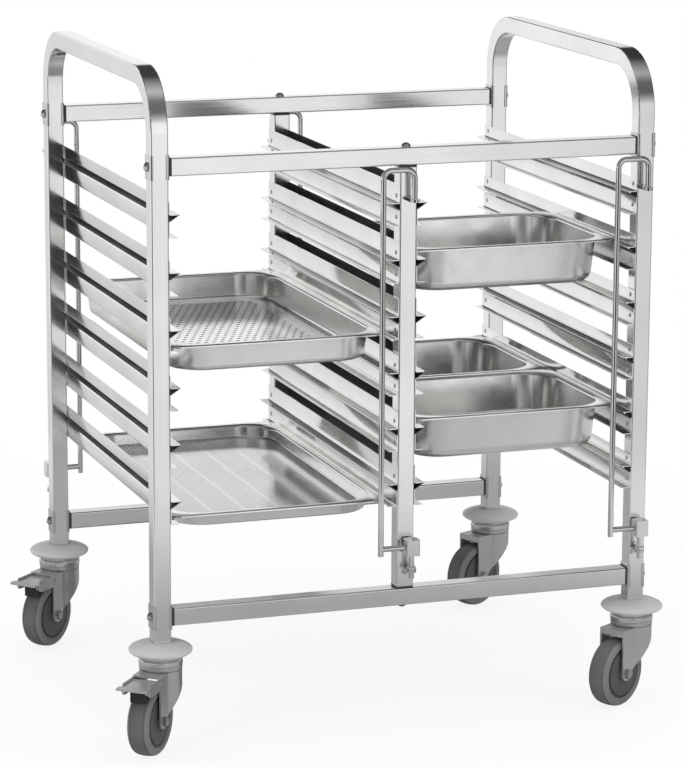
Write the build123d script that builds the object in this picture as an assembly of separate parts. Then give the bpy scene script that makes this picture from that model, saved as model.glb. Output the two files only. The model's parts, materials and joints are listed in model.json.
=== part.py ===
from build123d import *
import os
from math import cos, hypot, radians, sqrt, tan

# X runs across, the front faces -Y, Z is up and the floor is Z = 0. Lengths are in millimetres.

# Gastronorm pans, which set the width and the depth of the frame
pan_width = 325.0
pan_length = 530.0
pan_side_room = 3.75
pan_end_room = 27.5
pan_sheet = 1.0
pan_rim_drop = 2.5
pan_rim_corner = 22.0
pan_body_corner = 56.0
pan_body_room = 1.75
pan_wall_slope = 5.0
pan_floor_round = 0.45
pan_seat_gap = 0.3
full_pan_depth = 40.0
tray_depth = 20.0
half_pan_depth = 65.0
half_pan_gap = 1.0
half_pan_pair_shift = 8.0
upper_half_pan_shift = -110.0
full_pan_hole = 2.5
tray_hole = 1.5
hole_pitch = 20.0
hole_margin = 4.0

# Square tube frame
tube_size = 25.0
tube_wall = 1.2
tube_bore_corner = 0.8
hoop_bend_radius = 85.0
rail_lift = 42.0
rail_span = 655.0
handle_rise = 118.0
saddle_sheet = 1.5
saddle_lip = 3.5
saddle_height = 34.0
plug_flange = 3.0
plug_depth = 22.0
plug_fit = 0.2
bolt_radius = 4.0
bolt_fit = 0.05
bolt_head_radius = 6.4
bolt_head_edge = 1.8
bolt_head_height = 5.4
bolt_grip = 16.0

# Pressed runners
runner_levels = 6
runner_pitch = 80.0
runner_drop = 77.0
runner_sheet = 1.2
hoop_runner_flange = 17.0
post_runner_flange = 25.0
runner_reach = 14.5
runner_mouth = 8.4
runner_apex = 1.6
runner_depth = 33.0
runner_lip = 12.5

# Retaining rods
rod_radius = 4.0
rod_bend = 12.0
rod_hinge_shift = 4.0
rod_leg_shift = -42.0
right_rod_shift = -6.0
rod_hook_drop = 46.0
rod_tail = 10.0
rod_running_gap = 0.05
block_size = 20.0
block_height = 23.0
block_edge = 3.0
block_lift = 52.0
block_swing_gap = 1.1
arm_spigot = 5.0
pin_seat = 16.0
pin_tail = 9.0
pin_collar_radius = 6.5
pin_collar_height = 4.0
pin_collar_gap = 0.3
lug_sheet = 4.0
lug_radius = 7.0
lug_lift = 27.0

# Casters and bumpers
wheel_diameter = 100.0
wheel_width = 32.0
tyre_height = 13.0
tyre_tread_width = 23.0
tyre_crown = 0.8
tyre_shoulder = 6.0
tyre_bead = 2.0
tyre_fit = 0.05
hub_face_inset = 1.0
hub_rim_width = 1.5
hub_groove_width = 2.0
hub_groove_depth = 2.5
hub_boss_radius = 10.0
hub_boss_proud = 1.0
axle_radius = 4.0
axle_running_gap = 0.05
axle_hex_radius = 7.0
axle_head_height = 5.0
axle_nut_height = 6.5
axle_thread_proud = 1.5
caster_trail = 38.0
fork_sheet = 2.5
fork_side_gap = 2.5
fork_top_gap = 13.0
fork_boss = 10.5
fork_skirt_radius = 30.0
fork_bend_radius = 8.0
fork_heel_drop = 9.0
fork_waist_back = 25.0
fork_waist_rise = 18.0
fork_lip_drop = 6.0
race_radius = 30.5
race_height = 7.0
race_round = 2.5
race_gap = 0.5
head_radius = 31.0
head_height = 8.0
head_round = 3.0
neck_radius = 27.5
neck_height = 4.0
kingpin_radius = 6.0
kingpin_running_gap = 0.05
kingpin_head_radius = 10.0
kingpin_head_height = 4.0
kingpin_head_gap = 0.5
kingpin_proud = 3.0
insert_height = 40.0
insert_fit = 0.2
bumper_radius = 44.8
bumper_under_depth = 7.5
bumper_under_bulge = 17.0
bumper_dome_rise = 11.5
bumper_fit = 0.3
front_left_heading = 230.6
front_right_heading = 211.5
rear_left_heading = 222.5
rear_right_heading = 206.0

# Brake pedals
ear_length = 38.5
ear_height = 17.0
ear_top_gap = 1.5
ear_round = 6.0
pivot_inset = 3.5
pivot_drop = 7.0
pedal_sheet = 2.5
pedal_rise = 3.0
pedal_back_gap = 1.5
pedal_tread_gap = 2.0
pedal_tread_length = 15.0
pedal_tread_width = 47.0
pedal_tread_round = 4.0
pedal_side_gap = 0.5
pedal_web_back = 5.0
pedal_web_drop = 4.5
pedal_pin_radius = 3.0
pedal_pin_gap = 0.05
pedal_pin_proud = 2.0
shoe_width = 23.0
shoe_length = 30.0
shoe_gap = 5.6

# Sizes that follow from the driving ones
tube_half = tube_size / 2
tube_inside = tube_size - 2 * tube_wall
tube_corner = tube_bore_corner + tube_wall
frame_width = 2 * (pan_width + 2 * pan_side_room) + 3 * tube_size
frame_depth = pan_length + 2 * pan_end_room
leg_x = frame_width / 2 - tube_half
leg_y = frame_depth / 2 - tube_half
bay_x = leg_x / 2
wheel_radius = wheel_diameter / 2
crown_under = wheel_diameter + fork_top_gap
crown_top = crown_under + fork_sheet
head_bottom = crown_top + race_height + race_gap
neck_bottom = head_bottom + head_height
leg_bottom = neck_bottom + neck_height
bottom_rail_z = leg_bottom + rail_lift + tube_half
top_rail_z = leg_bottom + rail_lift + rail_span - tube_half
handle_z = top_rail_z + handle_rise
bolt_bore = bolt_radius + bolt_fit
rail_half = leg_x - tube_half - saddle_sheet - plug_flange
post_half = (top_rail_z - bottom_rail_z - tube_size) / 2 - plug_flange
post_z = (top_rail_z + bottom_rail_z) / 2
rail_bolt_length = saddle_sheet + tube_size + saddle_sheet + plug_flange + bolt_grip
post_bolt_length = tube_size + plug_flange + bolt_grip
runner_top = top_rail_z + tube_half - runner_drop
fork_half = wheel_width / 2 + fork_side_gap + fork_sheet
crown_front = caster_trail + fork_boss
ear_front = crown_front + ear_length
pivot_x = crown_front - pivot_inset
pivot_z = crown_under - pivot_drop
pedal_back = pedal_back_gap + pivot_inset
pedal_neck_end = ear_front - pivot_x + pedal_tread_gap
pedal_front = pedal_neck_end + pedal_tread_length
rod_standoff = (block_size / 2 - block_edge) * sqrt(2) + block_edge + block_swing_gap
rod_top_z = top_rail_z - tube_half - rod_radius
rod_end_z = rod_top_z - rod_hook_drop
block_bottom = bottom_rail_z + tube_half + block_lift
block_mid = block_bottom + block_height / 2
lower_lug_bottom = bottom_rail_z + tube_half + lug_lift
upper_lug_bottom = rod_end_z + rod_radius / 4
pan_rim = runner_reach - pan_side_room + pan_body_room


# A square tube's cut face
def tube_face():
    return RectangleRounded(tube_size, tube_size, tube_corner) - RectangleRounded(
        tube_inside, tube_inside, tube_bore_corner)


# Bores along X through a leg at both rail heights, front and rear
def leg_bores(x):
    bores = []
    for y in (-leg_y, leg_y):
        for z in (bottom_rail_z, top_rail_z):
            bores.append(Pos(x, y, z) * Rot(0, 90, 0) * Cylinder(bolt_bore, 2 * tube_size))
    return bores


# End hoop: two legs and the handle bent from one tube
def hoop(x):
    path = FilletPolyline(
        (x, -leg_y, leg_bottom),
        (x, -leg_y, handle_z),
        (x, leg_y, handle_z),
        (x, leg_y, leg_bottom),
        radius=hoop_bend_radius - tube_half)
    start = Plane(origin=path @ 0, z_dir=path % 0)
    return sweep(start * tube_face(), path) - leg_bores(x)


# Cross rail, with the bore for the post bolt at its middle
def rail(y, z):
    tube = Pos(0, y, z) * extrude(Plane.YZ * tube_face(), amount=rail_half, both=True)
    return tube - Pos(0, y, z) * Cylinder(bolt_bore, 2 * tube_size)


# Middle post between the rails
def post(y):
    return Pos(0, y, post_z) * extrude(tube_face(), amount=post_half, both=True)


# End plug: its flange is above Z = 0 and its body below
def plug():
    body_size = tube_inside - 2 * plug_fit
    flange = extrude(RectangleRounded(tube_size, tube_size, tube_corner), amount=plug_flange)
    body = extrude(RectangleRounded(body_size, body_size, tube_bore_corner), amount=-plug_depth)
    return flange + body - Cylinder(bolt_bore, 4 * plug_depth)


# Plugs of all rails and posts
def plugs():
    made = []
    for y in (-leg_y, leg_y):
        for z in (bottom_rail_z, top_rail_z):
            made.append(Pos(rail_half, y, z) * Rot(0, 90, 0) * plug())
            made.append(Pos(-rail_half, y, z) * Rot(0, -90, 0) * plug())
        made.append(Pos(0, y, post_z + post_half) * plug())
        made.append(Pos(0, y, post_z - post_half) * Rot(180, 0, 0) * plug())
    return made


# Saddle plate that wraps the +X side of a leg at the origin
def saddle():
    outside = tube_size + 2 * saddle_sheet
    wrap = RectangleRounded(outside, outside, tube_corner + saddle_sheet) - RectangleRounded(
        tube_size, tube_size, tube_corner)
    wrap &= Pos(tube_size - saddle_lip, 0) * Rectangle(tube_size, 2 * tube_size)
    bore = Rot(0, 90, 0) * Cylinder(bolt_bore, 4 * tube_size)
    return extrude(wrap, amount=saddle_height / 2, both=True) - bore


# Saddles on both sides of every leg at both rail heights
def saddles():
    made = []
    for x in (-leg_x, leg_x):
        for y in (-leg_y, leg_y):
            for z in (bottom_rail_z, top_rail_z):
                made.append(Pos(x, y, z) * saddle())
                made.append(Pos(x, y, z) * Rot(0, 0, 180) * saddle())
    return made


# Dome-head bolt: head above Z = 0, shank below
def dome_bolt(length):
    dome = TangentArc((0, bolt_head_height), (bolt_head_radius, bolt_head_edge), tangent=(1, 0))
    rest = Polyline(
        (bolt_head_radius, bolt_head_edge), (bolt_head_radius, 0), (bolt_radius, 0),
        (bolt_radius, -length), (0, -length), (0, bolt_head_height))
    return revolve(Plane.XZ * make_face([dome, rest]), Axis.Z)


# Bolts through the legs into the rail plugs
def rail_bolts():
    made = []
    seat = leg_x + tube_half + saddle_sheet
    for y in (-leg_y, leg_y):
        for z in (bottom_rail_z, top_rail_z):
            made.append(Pos(seat, y, z) * Rot(0, 90, 0) * dome_bolt(rail_bolt_length))
            made.append(Pos(-seat, y, z) * Rot(0, -90, 0) * dome_bolt(rail_bolt_length))
    return made


# Bolts through the rails into the post plugs
def post_bolts():
    made = []
    for y in (-leg_y, leg_y):
        made.append(Pos(0, y, top_rail_z + tube_half) * dome_bolt(post_bolt_length))
        made.append(Pos(0, y, bottom_rail_z - tube_half) * Rot(180, 0, 0) * dome_bolt(post_bolt_length))
    return made


# Pressed runner: a wall flange, a hollow V that carries a rim on its top, and a lip that carries one below
def runner(x, side, z, flange):
    slope = runner_mouth / (runner_reach - runner_apex)
    sheet_drop = runner_sheet * sqrt(1 + slope * slope)
    under_start = -runner_sheet - runner_mouth - sheet_drop
    lip_top = -runner_depth + runner_sheet
    outline = [
        (0, flange),
        (runner_sheet, flange),
        (runner_sheet, 0),
        (runner_reach, 0),
        (runner_reach, under_start + slope * runner_reach),
        (runner_sheet, under_start + slope * runner_sheet),
        (runner_sheet, lip_top),
        (runner_lip, lip_top),
        (runner_lip, -runner_depth),
        (0, -runner_depth),
        (0, -runner_sheet - runner_mouth),
        (runner_reach - runner_apex, -runner_sheet),
        (0, -runner_sheet),
        (0, flange)]
    placed = [(x + side * across, z + up) for across, up in outline]
    return extrude(Plane.XZ * make_face(Polyline(placed)), amount=frame_depth / 2, both=True)


# One column of runners on a tube face
def runner_column(x, side, flange):
    return [runner(x, side, runner_top - level * runner_pitch, flange) for level in range(runner_levels)]


# Places a piece made for the front of a post, where Y = 0 is the post's face, at the front or the rear
def at_post(x, end, piece):
    if end == "front":
        return Pos(x, -frame_depth / 2, 0) * piece
    return Pos(x, frame_depth / 2, 0) * Rot(0, 0, 180) * piece


# Retaining rod: long leg, hook at the top and the cross arm to the pivot block
def retaining_rod():
    path = FilletPolyline(
        (rod_leg_shift, -rod_standoff, block_mid - rod_tail),
        (rod_leg_shift, -rod_standoff, rod_top_z),
        (rod_hinge_shift, -rod_standoff, rod_top_z),
        (rod_hinge_shift, -rod_standoff, rod_end_z),
        radius=rod_bend)
    start = Plane(origin=path @ 0, z_dir=path % 0)
    bent = sweep(start * Circle(rod_radius), path)
    arm_end = rod_hinge_shift - block_size / 2 + arm_spigot
    arm_length = arm_end - rod_leg_shift
    arm = Pos(rod_leg_shift + arm_length / 2, -rod_standoff, block_mid) * Rot(0, 90, 0) * Cylinder(
        rod_radius, arm_length)
    return bent + arm


# Pivot block on the rod's arm, and the pin that hangs from it into the lower lug
def rod_pivot():
    block = Pos(0, 0, block_mid) * extrude(
        RectangleRounded(block_size, block_size, block_edge), amount=block_height / 2, both=True)
    arm_bore = Pos(-block_size / 2, 0, block_mid) * Rot(0, 90, 0) * Cylinder(
        rod_radius + bolt_fit, 2 * arm_spigot)
    pin_top = block_bottom + pin_seat
    pin_bottom = lower_lug_bottom - pin_tail
    pin_bore = Pos(0, 0, block_bottom) * Cylinder(rod_radius + bolt_fit, 2 * pin_seat)
    pin = Pos(0, 0, (pin_top + pin_bottom) / 2) * Cylinder(rod_radius, pin_top - pin_bottom)
    collar_mid = lower_lug_bottom + lug_sheet + pin_collar_gap + pin_collar_height / 2
    collar = Pos(0, 0, collar_mid) * Cylinder(pin_collar_radius, pin_collar_height)
    hinge = Pos(rod_hinge_shift, -rod_standoff, 0)
    return [hinge * (block - arm_bore - pin_bore), hinge * (pin + collar)]


# Lug plate on a post's face, with the bore in which a rod turns
def lug(bottom):
    plate = Pos(rod_hinge_shift, -rod_standoff / 2) * Rectangle(2 * lug_radius, rod_standoff)
    plate += Pos(rod_hinge_shift, -rod_standoff) * Circle(lug_radius)
    plate -= Pos(rod_hinge_shift, -rod_standoff) * Circle(rod_radius + rod_running_gap)
    return Pos(0, 0, bottom) * extrude(plate, amount=lug_sheet)


# Tapered box with a round floor edge, hung below Z = 0: its section turns at the corners and runs between them
def pan_bowl(width, length, corner, depth, floor_round):
    half_x = width / 2 - corner
    half_y = length / 2 - corner
    slope = radians(pan_wall_slope)
    bend_z = floor_round - depth
    bend_x = corner + bend_z * tan(slope) - floor_round / cos(slope)
    bend = CenterArc((bend_x, bend_z), floor_round, -90, 90 - pan_wall_slope)
    rest = Polyline(bend @ 1, (corner, 0), (0, 0), (0, -depth), bend @ 0)
    section = Plane.XZ * make_face([bend, rest])
    turn = revolve(section, Axis.Z, 90)
    long_run = extrude(Pos(half_x) * section, amount=half_y, both=True)
    short_run = extrude(Pos(half_y) * section, amount=half_x, both=True)
    pieces = [long_run, Rot(0, 0, 90) * short_run, Rot(0, 0, 180) * long_run, Rot(0, 0, 270) * short_run]
    for k, (side_x, side_y) in enumerate(((1, 1), (-1, 1), (-1, -1), (1, -1))):
        pieces.append(Pos(side_x * half_x, side_y * half_y) * Rot(0, 0, 90 * k) * turn)
    middle = Pos(0, 0, -depth / 2) * Box(2 * half_x, 2 * half_y, depth)
    return middle + pieces


# Hole places on a flat floor with round corners, leaving out those past the round
def hole_spots(half_x, half_y, corner):
    across = int(2 * half_x / hole_pitch) + 1
    along = int(2 * half_y / hole_pitch) + 1
    kept = []
    for spot in GridLocations(hole_pitch, hole_pitch, across, along):
        past_x = max(abs(spot.position.X) - half_x + corner, 0)
        past_y = max(abs(spot.position.Y) - half_y + corner, 0)
        if hypot(past_x, past_y) <= corner:
            kept.append(spot)
    return kept


# Gastronorm pan whose rim edge stands on Z = 0
def pan(length, depth, hole):
    body_width = pan_width - 2 * pan_rim
    body_length = length - 2 * pan_rim
    floor_round = depth * pan_floor_round
    bowl = pan_bowl(body_width, body_length, pan_body_corner, depth, floor_round)
    room = pan_bowl(
        body_width - 2 * pan_sheet, body_length - 2 * pan_sheet, pan_body_corner - pan_sheet,
        depth - pan_sheet, floor_round - pan_sheet)
    opening = RectangleRounded(
        body_width - 2 * pan_sheet, body_length - 2 * pan_sheet, pan_body_corner - pan_sheet)
    rim = extrude(RectangleRounded(pan_width, length, pan_rim_corner) - opening, amount=-pan_sheet)
    edge_inside = RectangleRounded(
        pan_width - 2 * pan_sheet, length - 2 * pan_sheet, pan_rim_corner - pan_sheet)
    edge = extrude(RectangleRounded(pan_width, length, pan_rim_corner) - edge_inside, amount=-pan_rim_drop)
    made = bowl - room + rim + edge
    if hole > 0:
        inset = depth * tan(radians(pan_wall_slope)) + floor_round + hole_margin
        spots = hole_spots(body_width / 2 - inset, body_length / 2 - inset, pan_body_corner - inset)
        grid = Sketch() + [spot * Circle(hole) for spot in spots]
        made -= Pos(0, 0, -depth - pan_sheet) * extrude(grid, amount=3 * pan_sheet)
    return Pos(0, 0, pan_rim_drop) * made


# Places a caster piece, made with its stem on the Z axis and its wheel trailing along +X
def at_leg(side_x, side_y, heading, piece):
    return Pos(side_x * leg_x, side_y * leg_y, 0) * Rot(0, 0, heading) * piece


# Bumper disc, domed above its widest ring and drawn in below it, with a square hole for the leg
def bumper():
    seat = bumper_radius - bumper_under_bulge
    top = bumper_under_depth + bumper_dome_rise
    dome = EllipticalCenterArc(
        (0, bumper_under_depth), bumper_radius, bumper_dome_rise, start_angle=0, arc_size=90)
    under = EllipticalCenterArc(
        (seat, bumper_under_depth), bumper_under_bulge, bumper_under_depth, start_angle=-90, arc_size=90)
    rest = Polyline((0, top), (0, 0), (seat, 0))
    disc = revolve(Plane.XZ * make_face([dome, under, rest]), Axis.Z)
    hole_size = tube_size + 2 * bumper_fit
    hole = extrude(RectangleRounded(hole_size, hole_size, tube_corner), amount=2 * top)
    return Pos(0, 0, leg_bottom) * (disc - hole)


# Fixed upper part of the swivel race, with the neck on which the leg stands
def caster_head():
    disc = Cylinder(head_radius, head_height, align=(Align.CENTER, Align.CENTER, Align.MIN))
    disc = fillet(disc.edges().sort_by(Axis.Z)[-1], head_round)
    neck = Pos(0, 0, head_height) * Cylinder(
        neck_radius, neck_height, align=(Align.CENTER, Align.CENTER, Align.MIN))
    bore = Cylinder(kingpin_radius + bolt_fit, 4 * (head_height + neck_height))
    return Pos(0, 0, head_bottom) * (disc + neck - bore)


# Stem that holds head and fork together, with its riveted end under the crown
def kingpin():
    head_top = crown_under - kingpin_head_gap
    top = leg_bottom + insert_height + kingpin_proud
    outline = Polyline(
        (0, head_top - kingpin_head_height), (kingpin_head_radius, head_top - kingpin_head_height),
        (kingpin_head_radius, head_top), (kingpin_radius, head_top), (kingpin_radius, top), (0, top),
        (0, head_top - kingpin_head_height))
    return revolve(Plane.XZ * make_face(outline), Axis.Z)


# Insert in the end of a leg
def leg_insert():
    size = tube_inside - 2 * insert_fit
    block = extrude(RectangleRounded(size, size, tube_bore_corner), amount=insert_height)
    return Pos(0, 0, leg_bottom) * (block - Cylinder(kingpin_radius + bolt_fit, 4 * insert_height))


# Plan of the fork: a round skirt behind, bent into straight cheeks that run forward beside the wheel
def fork_plan(half, skirt, bend, front):
    plan = Circle(skirt) + Pos(front / 2, 0) * Rectangle(front, 2 * half)
    corners = plan.vertices().sort_by(Axis.X)[:2]
    return fillet(corners, bend)


# Pressed fork with the lower race, and on a braked caster the ears that guard the pedal
def fork(braked):
    low = wheel_radius - 2 * fork_boss
    heel = (-fork_skirt_radius, crown_under - fork_heel_drop)
    waist = (caster_trail - fork_waist_back, wheel_radius + fork_waist_rise)
    toe = (caster_trail - fork_boss * sqrt(0.5), wheel_radius - fork_boss * sqrt(0.5))
    rest = Polyline(
        toe, (caster_trail, wheel_radius), (crown_front, wheel_radius), (crown_front, crown_top),
        (-fork_skirt_radius, crown_top), heel)
    side = make_face([ThreePointArc(heel, waist, toe), rest])
    side += Pos(caster_trail, wheel_radius) * Circle(fork_boss)
    outer = fork_plan(fork_half, fork_skirt_radius, fork_bend_radius, crown_front)
    inner = fork_plan(
        fork_half - fork_sheet, fork_skirt_radius - fork_sheet, fork_bend_radius + fork_sheet,
        2 * crown_front)
    shell = extrude(outer, amount=crown_top - low) - extrude(inner, amount=crown_under - low)
    made = Pos(0, 0, low) * shell & extrude(Plane.XZ * side, amount=2 * fork_skirt_radius, both=True)
    if braked:
        ear_z = crown_top - ear_top_gap - ear_height / 2
        ear = Pos(crown_front, ear_z) * Rectangle(2 * ear_length, ear_height)
        ear = fillet(ear.vertices().sort_by(Axis.X)[-2:], ear_round)
        ear &= Pos(pivot_x + ear_length, ear_z) * Rectangle(2 * ear_length, 2 * ear_height)
        plate = extrude(Plane.XZ * ear, amount=fork_sheet / 2, both=True)
        made += Pos(0, fork_half - fork_sheet / 2, 0) * plate
        made += Pos(0, fork_sheet / 2 - fork_half, 0) * plate
        made -= Pos(pivot_x, 0, pivot_z) * Rot(90, 0, 0) * Cylinder(
            pedal_pin_radius + pedal_pin_gap, 4 * fork_half)
    else:
        lip_z = crown_under - fork_lip_drop / 2
        made += Pos(crown_front - fork_sheet / 2, 0, lip_z) * Box(
            fork_sheet, 2 * fork_half - fork_sheet, fork_lip_drop)
    race = Cylinder(race_radius, race_height, align=(Align.CENTER, Align.CENTER, Align.MIN))
    race = fillet(race.edges().sort_by(Axis.Z)[0], race_round)
    made += Pos(0, 0, crown_top) * race
    made -= Pos(0, 0, crown_top) * Cylinder(kingpin_radius + kingpin_running_gap, 4 * race_height)
    return made - Pos(caster_trail, 0, wheel_radius) * Rot(90, 0, 0) * Cylinder(
        axle_radius + bolt_fit, 4 * fork_half)


# Axle bolt with its nut
def axle():
    hexagon = RegularPolygon(axle_hex_radius, 6)
    head = Pos(0, 0, fork_half) * extrude(hexagon, amount=axle_head_height)
    end = -fork_half - axle_nut_height - axle_thread_proud
    shank = Pos(0, 0, (fork_half + end) / 2) * Cylinder(axle_radius, fork_half - end)
    nut = Pos(0, 0, -fork_half) * extrude(hexagon - Circle(axle_radius + bolt_fit), amount=-axle_nut_height)
    turn = Pos(caster_trail, 0, wheel_radius) * Rot(-90, 0, 0)
    return [turn * (head + shank), turn * nut]


# Tyre, turned about the axle: crowned tread, sloping shoulders, flat sides and beads that hold the hub
def tyre():
    inside = wheel_radius - tyre_height + tyre_fit
    half = wheel_width / 2
    tread_half = tyre_tread_width / 2
    edge = wheel_radius - tyre_crown
    shoulder = wheel_radius - tyre_shoulder
    tread = ThreePointArc((edge, -tread_half), (wheel_radius, 0), (edge, tread_half))
    rest = Polyline(
        (edge, tread_half), (shoulder, half), (inside + tyre_bead, half), (inside, half - tyre_bead),
        (inside, tyre_bead - half), (inside + tyre_bead, -half), (shoulder, -half), (edge, -tread_half))
    ring = revolve(make_face([tread, rest]), Axis.Y)
    return Pos(caster_trail, 0, wheel_radius) * ring


# Wheel hub, turned about the axle: boss, flat disc, groove and rim on each side
def hub():
    outside = wheel_radius - tyre_height
    bore = axle_radius + axle_running_gap
    rim_half = wheel_width / 2 - tyre_bead
    rim_inside = outside - hub_rim_width
    disc_radius = rim_inside - hub_groove_width
    disc_half = wheel_width / 2 - hub_face_inset
    groove_half = disc_half - hub_groove_depth
    boss_half = wheel_width / 2 + hub_boss_proud
    upper = [
        (bore, boss_half), (hub_boss_radius, boss_half), (hub_boss_radius, disc_half),
        (disc_radius, disc_half), (disc_radius, groove_half), (rim_inside, groove_half),
        (rim_inside, rim_half), (outside, rim_half)]
    lower = [(across, -along) for across, along in reversed(upper)]
    turned = revolve(make_face(Polyline(upper + lower + upper[:1])), Axis.Y)
    return Pos(caster_trail, 0, wheel_radius) * turned


# Brake pedal, made about its pivot: neck between the ears, wide tread beyond them, webs and pivot pin
def brake_pedal():
    neck_half = fork_half - fork_sheet - pedal_side_gap
    tread = Pos(pedal_neck_end + pedal_tread_length / 2, 0) * RectangleRounded(
        pedal_tread_length, pedal_tread_width, pedal_tread_round)
    neck_length = pedal_front - pedal_tread_round - pedal_back
    neck = Pos(pedal_back + neck_length / 2, 0) * Rectangle(neck_length, 2 * neck_half)
    made = Pos(0, 0, pedal_rise) * extrude(tread + neck, amount=pedal_sheet)
    web_height = pedal_web_drop + pedal_rise
    web = Box(
        pedal_web_back + pedal_neck_end, pedal_sheet, web_height + pedal_sheet / 2,
        align=(Align.MIN, Align.CENTER, Align.MIN))
    for side in (-1, 1):
        made += Pos(-pedal_web_back, side * (neck_half - pedal_sheet / 2), -pedal_web_drop) * web
    made += Rot(90, 0, 0) * Cylinder(pedal_pin_radius, 2 * (fork_half + pedal_pin_proud))
    return Pos(pivot_x, 0, pivot_z) * made


# Brake shoe under the pedal's neck, hollowed to the round of the tyre
def brake_shoe():
    block = Pos(pivot_x + pedal_back, 0, pivot_z + pedal_rise) * Box(
        shoe_length, shoe_width, wheel_radius, align=(Align.MIN, Align.CENTER, Align.MAX))
    round_room = Pos(caster_trail, 0, wheel_radius) * Rot(90, 0, 0) * Cylinder(
        wheel_radius + shoe_gap, 2 * shoe_width)
    return block - round_room


# Writes one piece, or a group of like pieces, to its own file
def save(name, piece):
    if isinstance(piece, list):
        piece = Compound([solid for each in piece for solid in each.solids()])
    export_step(piece, "parts/" + name + ".step")


os.makedirs("parts", exist_ok=True)

save("left_hoop", hoop(-leg_x))
save("right_hoop", hoop(leg_x))
save("top_front_rail", rail(-leg_y, top_rail_z))
save("top_rear_rail", rail(leg_y, top_rail_z))
save("bottom_front_rail", rail(-leg_y, bottom_rail_z))
save("bottom_rear_rail", rail(leg_y, bottom_rail_z))
save("front_post", post(-leg_y))
save("rear_post", post(leg_y))
save("tube_end_plugs", plugs())
save("leg_saddles", saddles())
save("rail_bolts", rail_bolts())
save("post_bolts", post_bolts())
save("left_hoop_runners", runner_column(tube_half - leg_x, 1, hoop_runner_flange))
save("post_left_runners", runner_column(-tube_half, -1, post_runner_flange))
save("post_right_runners", runner_column(tube_half, 1, post_runner_flange))
save("right_hoop_runners", runner_column(leg_x - tube_half, -1, hoop_runner_flange))

rods = [
    ("front_middle", 0, "front"),
    ("front_right", leg_x + right_rod_shift, "front"),
    ("rear_left", -leg_x, "rear"),
    ("rear_middle", 0, "rear")]
lugs = []
for place, x, end in rods:
    lugs.append(at_post(x, end, lug(lower_lug_bottom)))
    lugs.append(at_post(x, end, lug(upper_lug_bottom)))
    save(place + "_rod", at_post(x, end, retaining_rod()))
    save(place + "_rod_pivot", [at_post(x, end, piece) for piece in rod_pivot()])
save("rod_lugs", lugs)

third_lip = runner_top - 2 * runner_pitch - runner_depth + runner_sheet + pan_seat_gap
sixth_lip = runner_top - 5 * runner_pitch - runner_depth + runner_sheet + pan_seat_gap
second_top = runner_top - runner_pitch + pan_seat_gap
fifth_top = runner_top - 4 * runner_pitch + pan_seat_gap
half_length = pan_length / 2
pair_offset = (half_length + half_pan_gap) / 2
save("full_pan", Pos(-bay_x, 0, third_lip) * pan(pan_length, full_pan_depth, full_pan_hole))
save("drain_tray", Pos(-bay_x, 0, sixth_lip) * pan(pan_length, tray_depth, tray_hole))
half_pan = pan(half_length, half_pan_depth, 0)
save("upper_half_pan", Pos(bay_x, upper_half_pan_shift, second_top) * half_pan)
save("lower_front_half_pan", Pos(bay_x, half_pan_pair_shift - pair_offset, fifth_top) * half_pan)
save("lower_rear_half_pan", Pos(bay_x, half_pan_pair_shift + pair_offset, fifth_top) * half_pan)

casters = [
    ("front_left", -1, -1, front_left_heading, True),
    ("front_right", 1, -1, front_right_heading, False),
    ("rear_left", -1, 1, rear_left_heading, True),
    ("rear_right", 1, 1, rear_right_heading, False)]
stems = []
inserts = []
for place, side_x, side_y, heading, braked in casters:
    stems.append(at_leg(side_x, side_y, 0, kingpin()))
    inserts.append(at_leg(side_x, side_y, 0, leg_insert()))
    save(place + "_bumper", at_leg(side_x, side_y, 0, bumper()))
    save(place + "_caster_head", at_leg(side_x, side_y, 0, caster_head()))
    save(place + "_fork", at_leg(side_x, side_y, heading, fork(braked)))
    save(place + "_axle", [at_leg(side_x, side_y, heading, piece) for piece in axle()])
    save(place + "_hub", at_leg(side_x, side_y, heading, hub()))
    save(place + "_tyre", at_leg(side_x, side_y, heading, tyre()))
    if braked:
        save(place + "_brake_pedal", at_leg(side_x, side_y, heading, brake_pedal()))
        save(place + "_brake_shoe", at_leg(side_x, side_y, heading, brake_shoe()))
save("caster_stems", stems)
save("leg_inserts", inserts)
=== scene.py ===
# %% [markdown]
# # A gastronorm trolley, dressed for its photograph
#
# The trolley's solids are already built and packed at their real size. This lesson loads them as a fixed
# frame, places the camera and the light, gives every piece a finish, and models in mesh code what the solids
# leave plain: the perforated pans, the folded runners with their rivets, and the turned wheels.

import json
import math

import bmesh
import bpy
from mathutils import Matrix, Vector


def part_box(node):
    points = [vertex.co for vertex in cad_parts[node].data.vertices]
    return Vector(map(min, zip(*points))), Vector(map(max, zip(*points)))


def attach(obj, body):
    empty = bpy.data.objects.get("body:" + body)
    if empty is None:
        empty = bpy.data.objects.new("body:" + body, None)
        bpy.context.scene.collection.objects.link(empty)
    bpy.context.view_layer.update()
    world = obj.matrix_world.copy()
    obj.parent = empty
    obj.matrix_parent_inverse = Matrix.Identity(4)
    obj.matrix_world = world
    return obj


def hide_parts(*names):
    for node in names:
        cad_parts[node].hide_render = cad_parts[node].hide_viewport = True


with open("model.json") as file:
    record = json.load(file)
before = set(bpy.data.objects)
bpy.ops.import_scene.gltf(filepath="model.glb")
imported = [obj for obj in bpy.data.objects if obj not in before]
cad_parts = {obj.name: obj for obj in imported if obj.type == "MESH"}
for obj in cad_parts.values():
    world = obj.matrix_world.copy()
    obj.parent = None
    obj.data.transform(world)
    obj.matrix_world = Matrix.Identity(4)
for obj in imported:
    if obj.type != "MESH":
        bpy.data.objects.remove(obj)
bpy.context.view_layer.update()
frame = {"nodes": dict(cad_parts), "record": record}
nodes = frame["nodes"]

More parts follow.
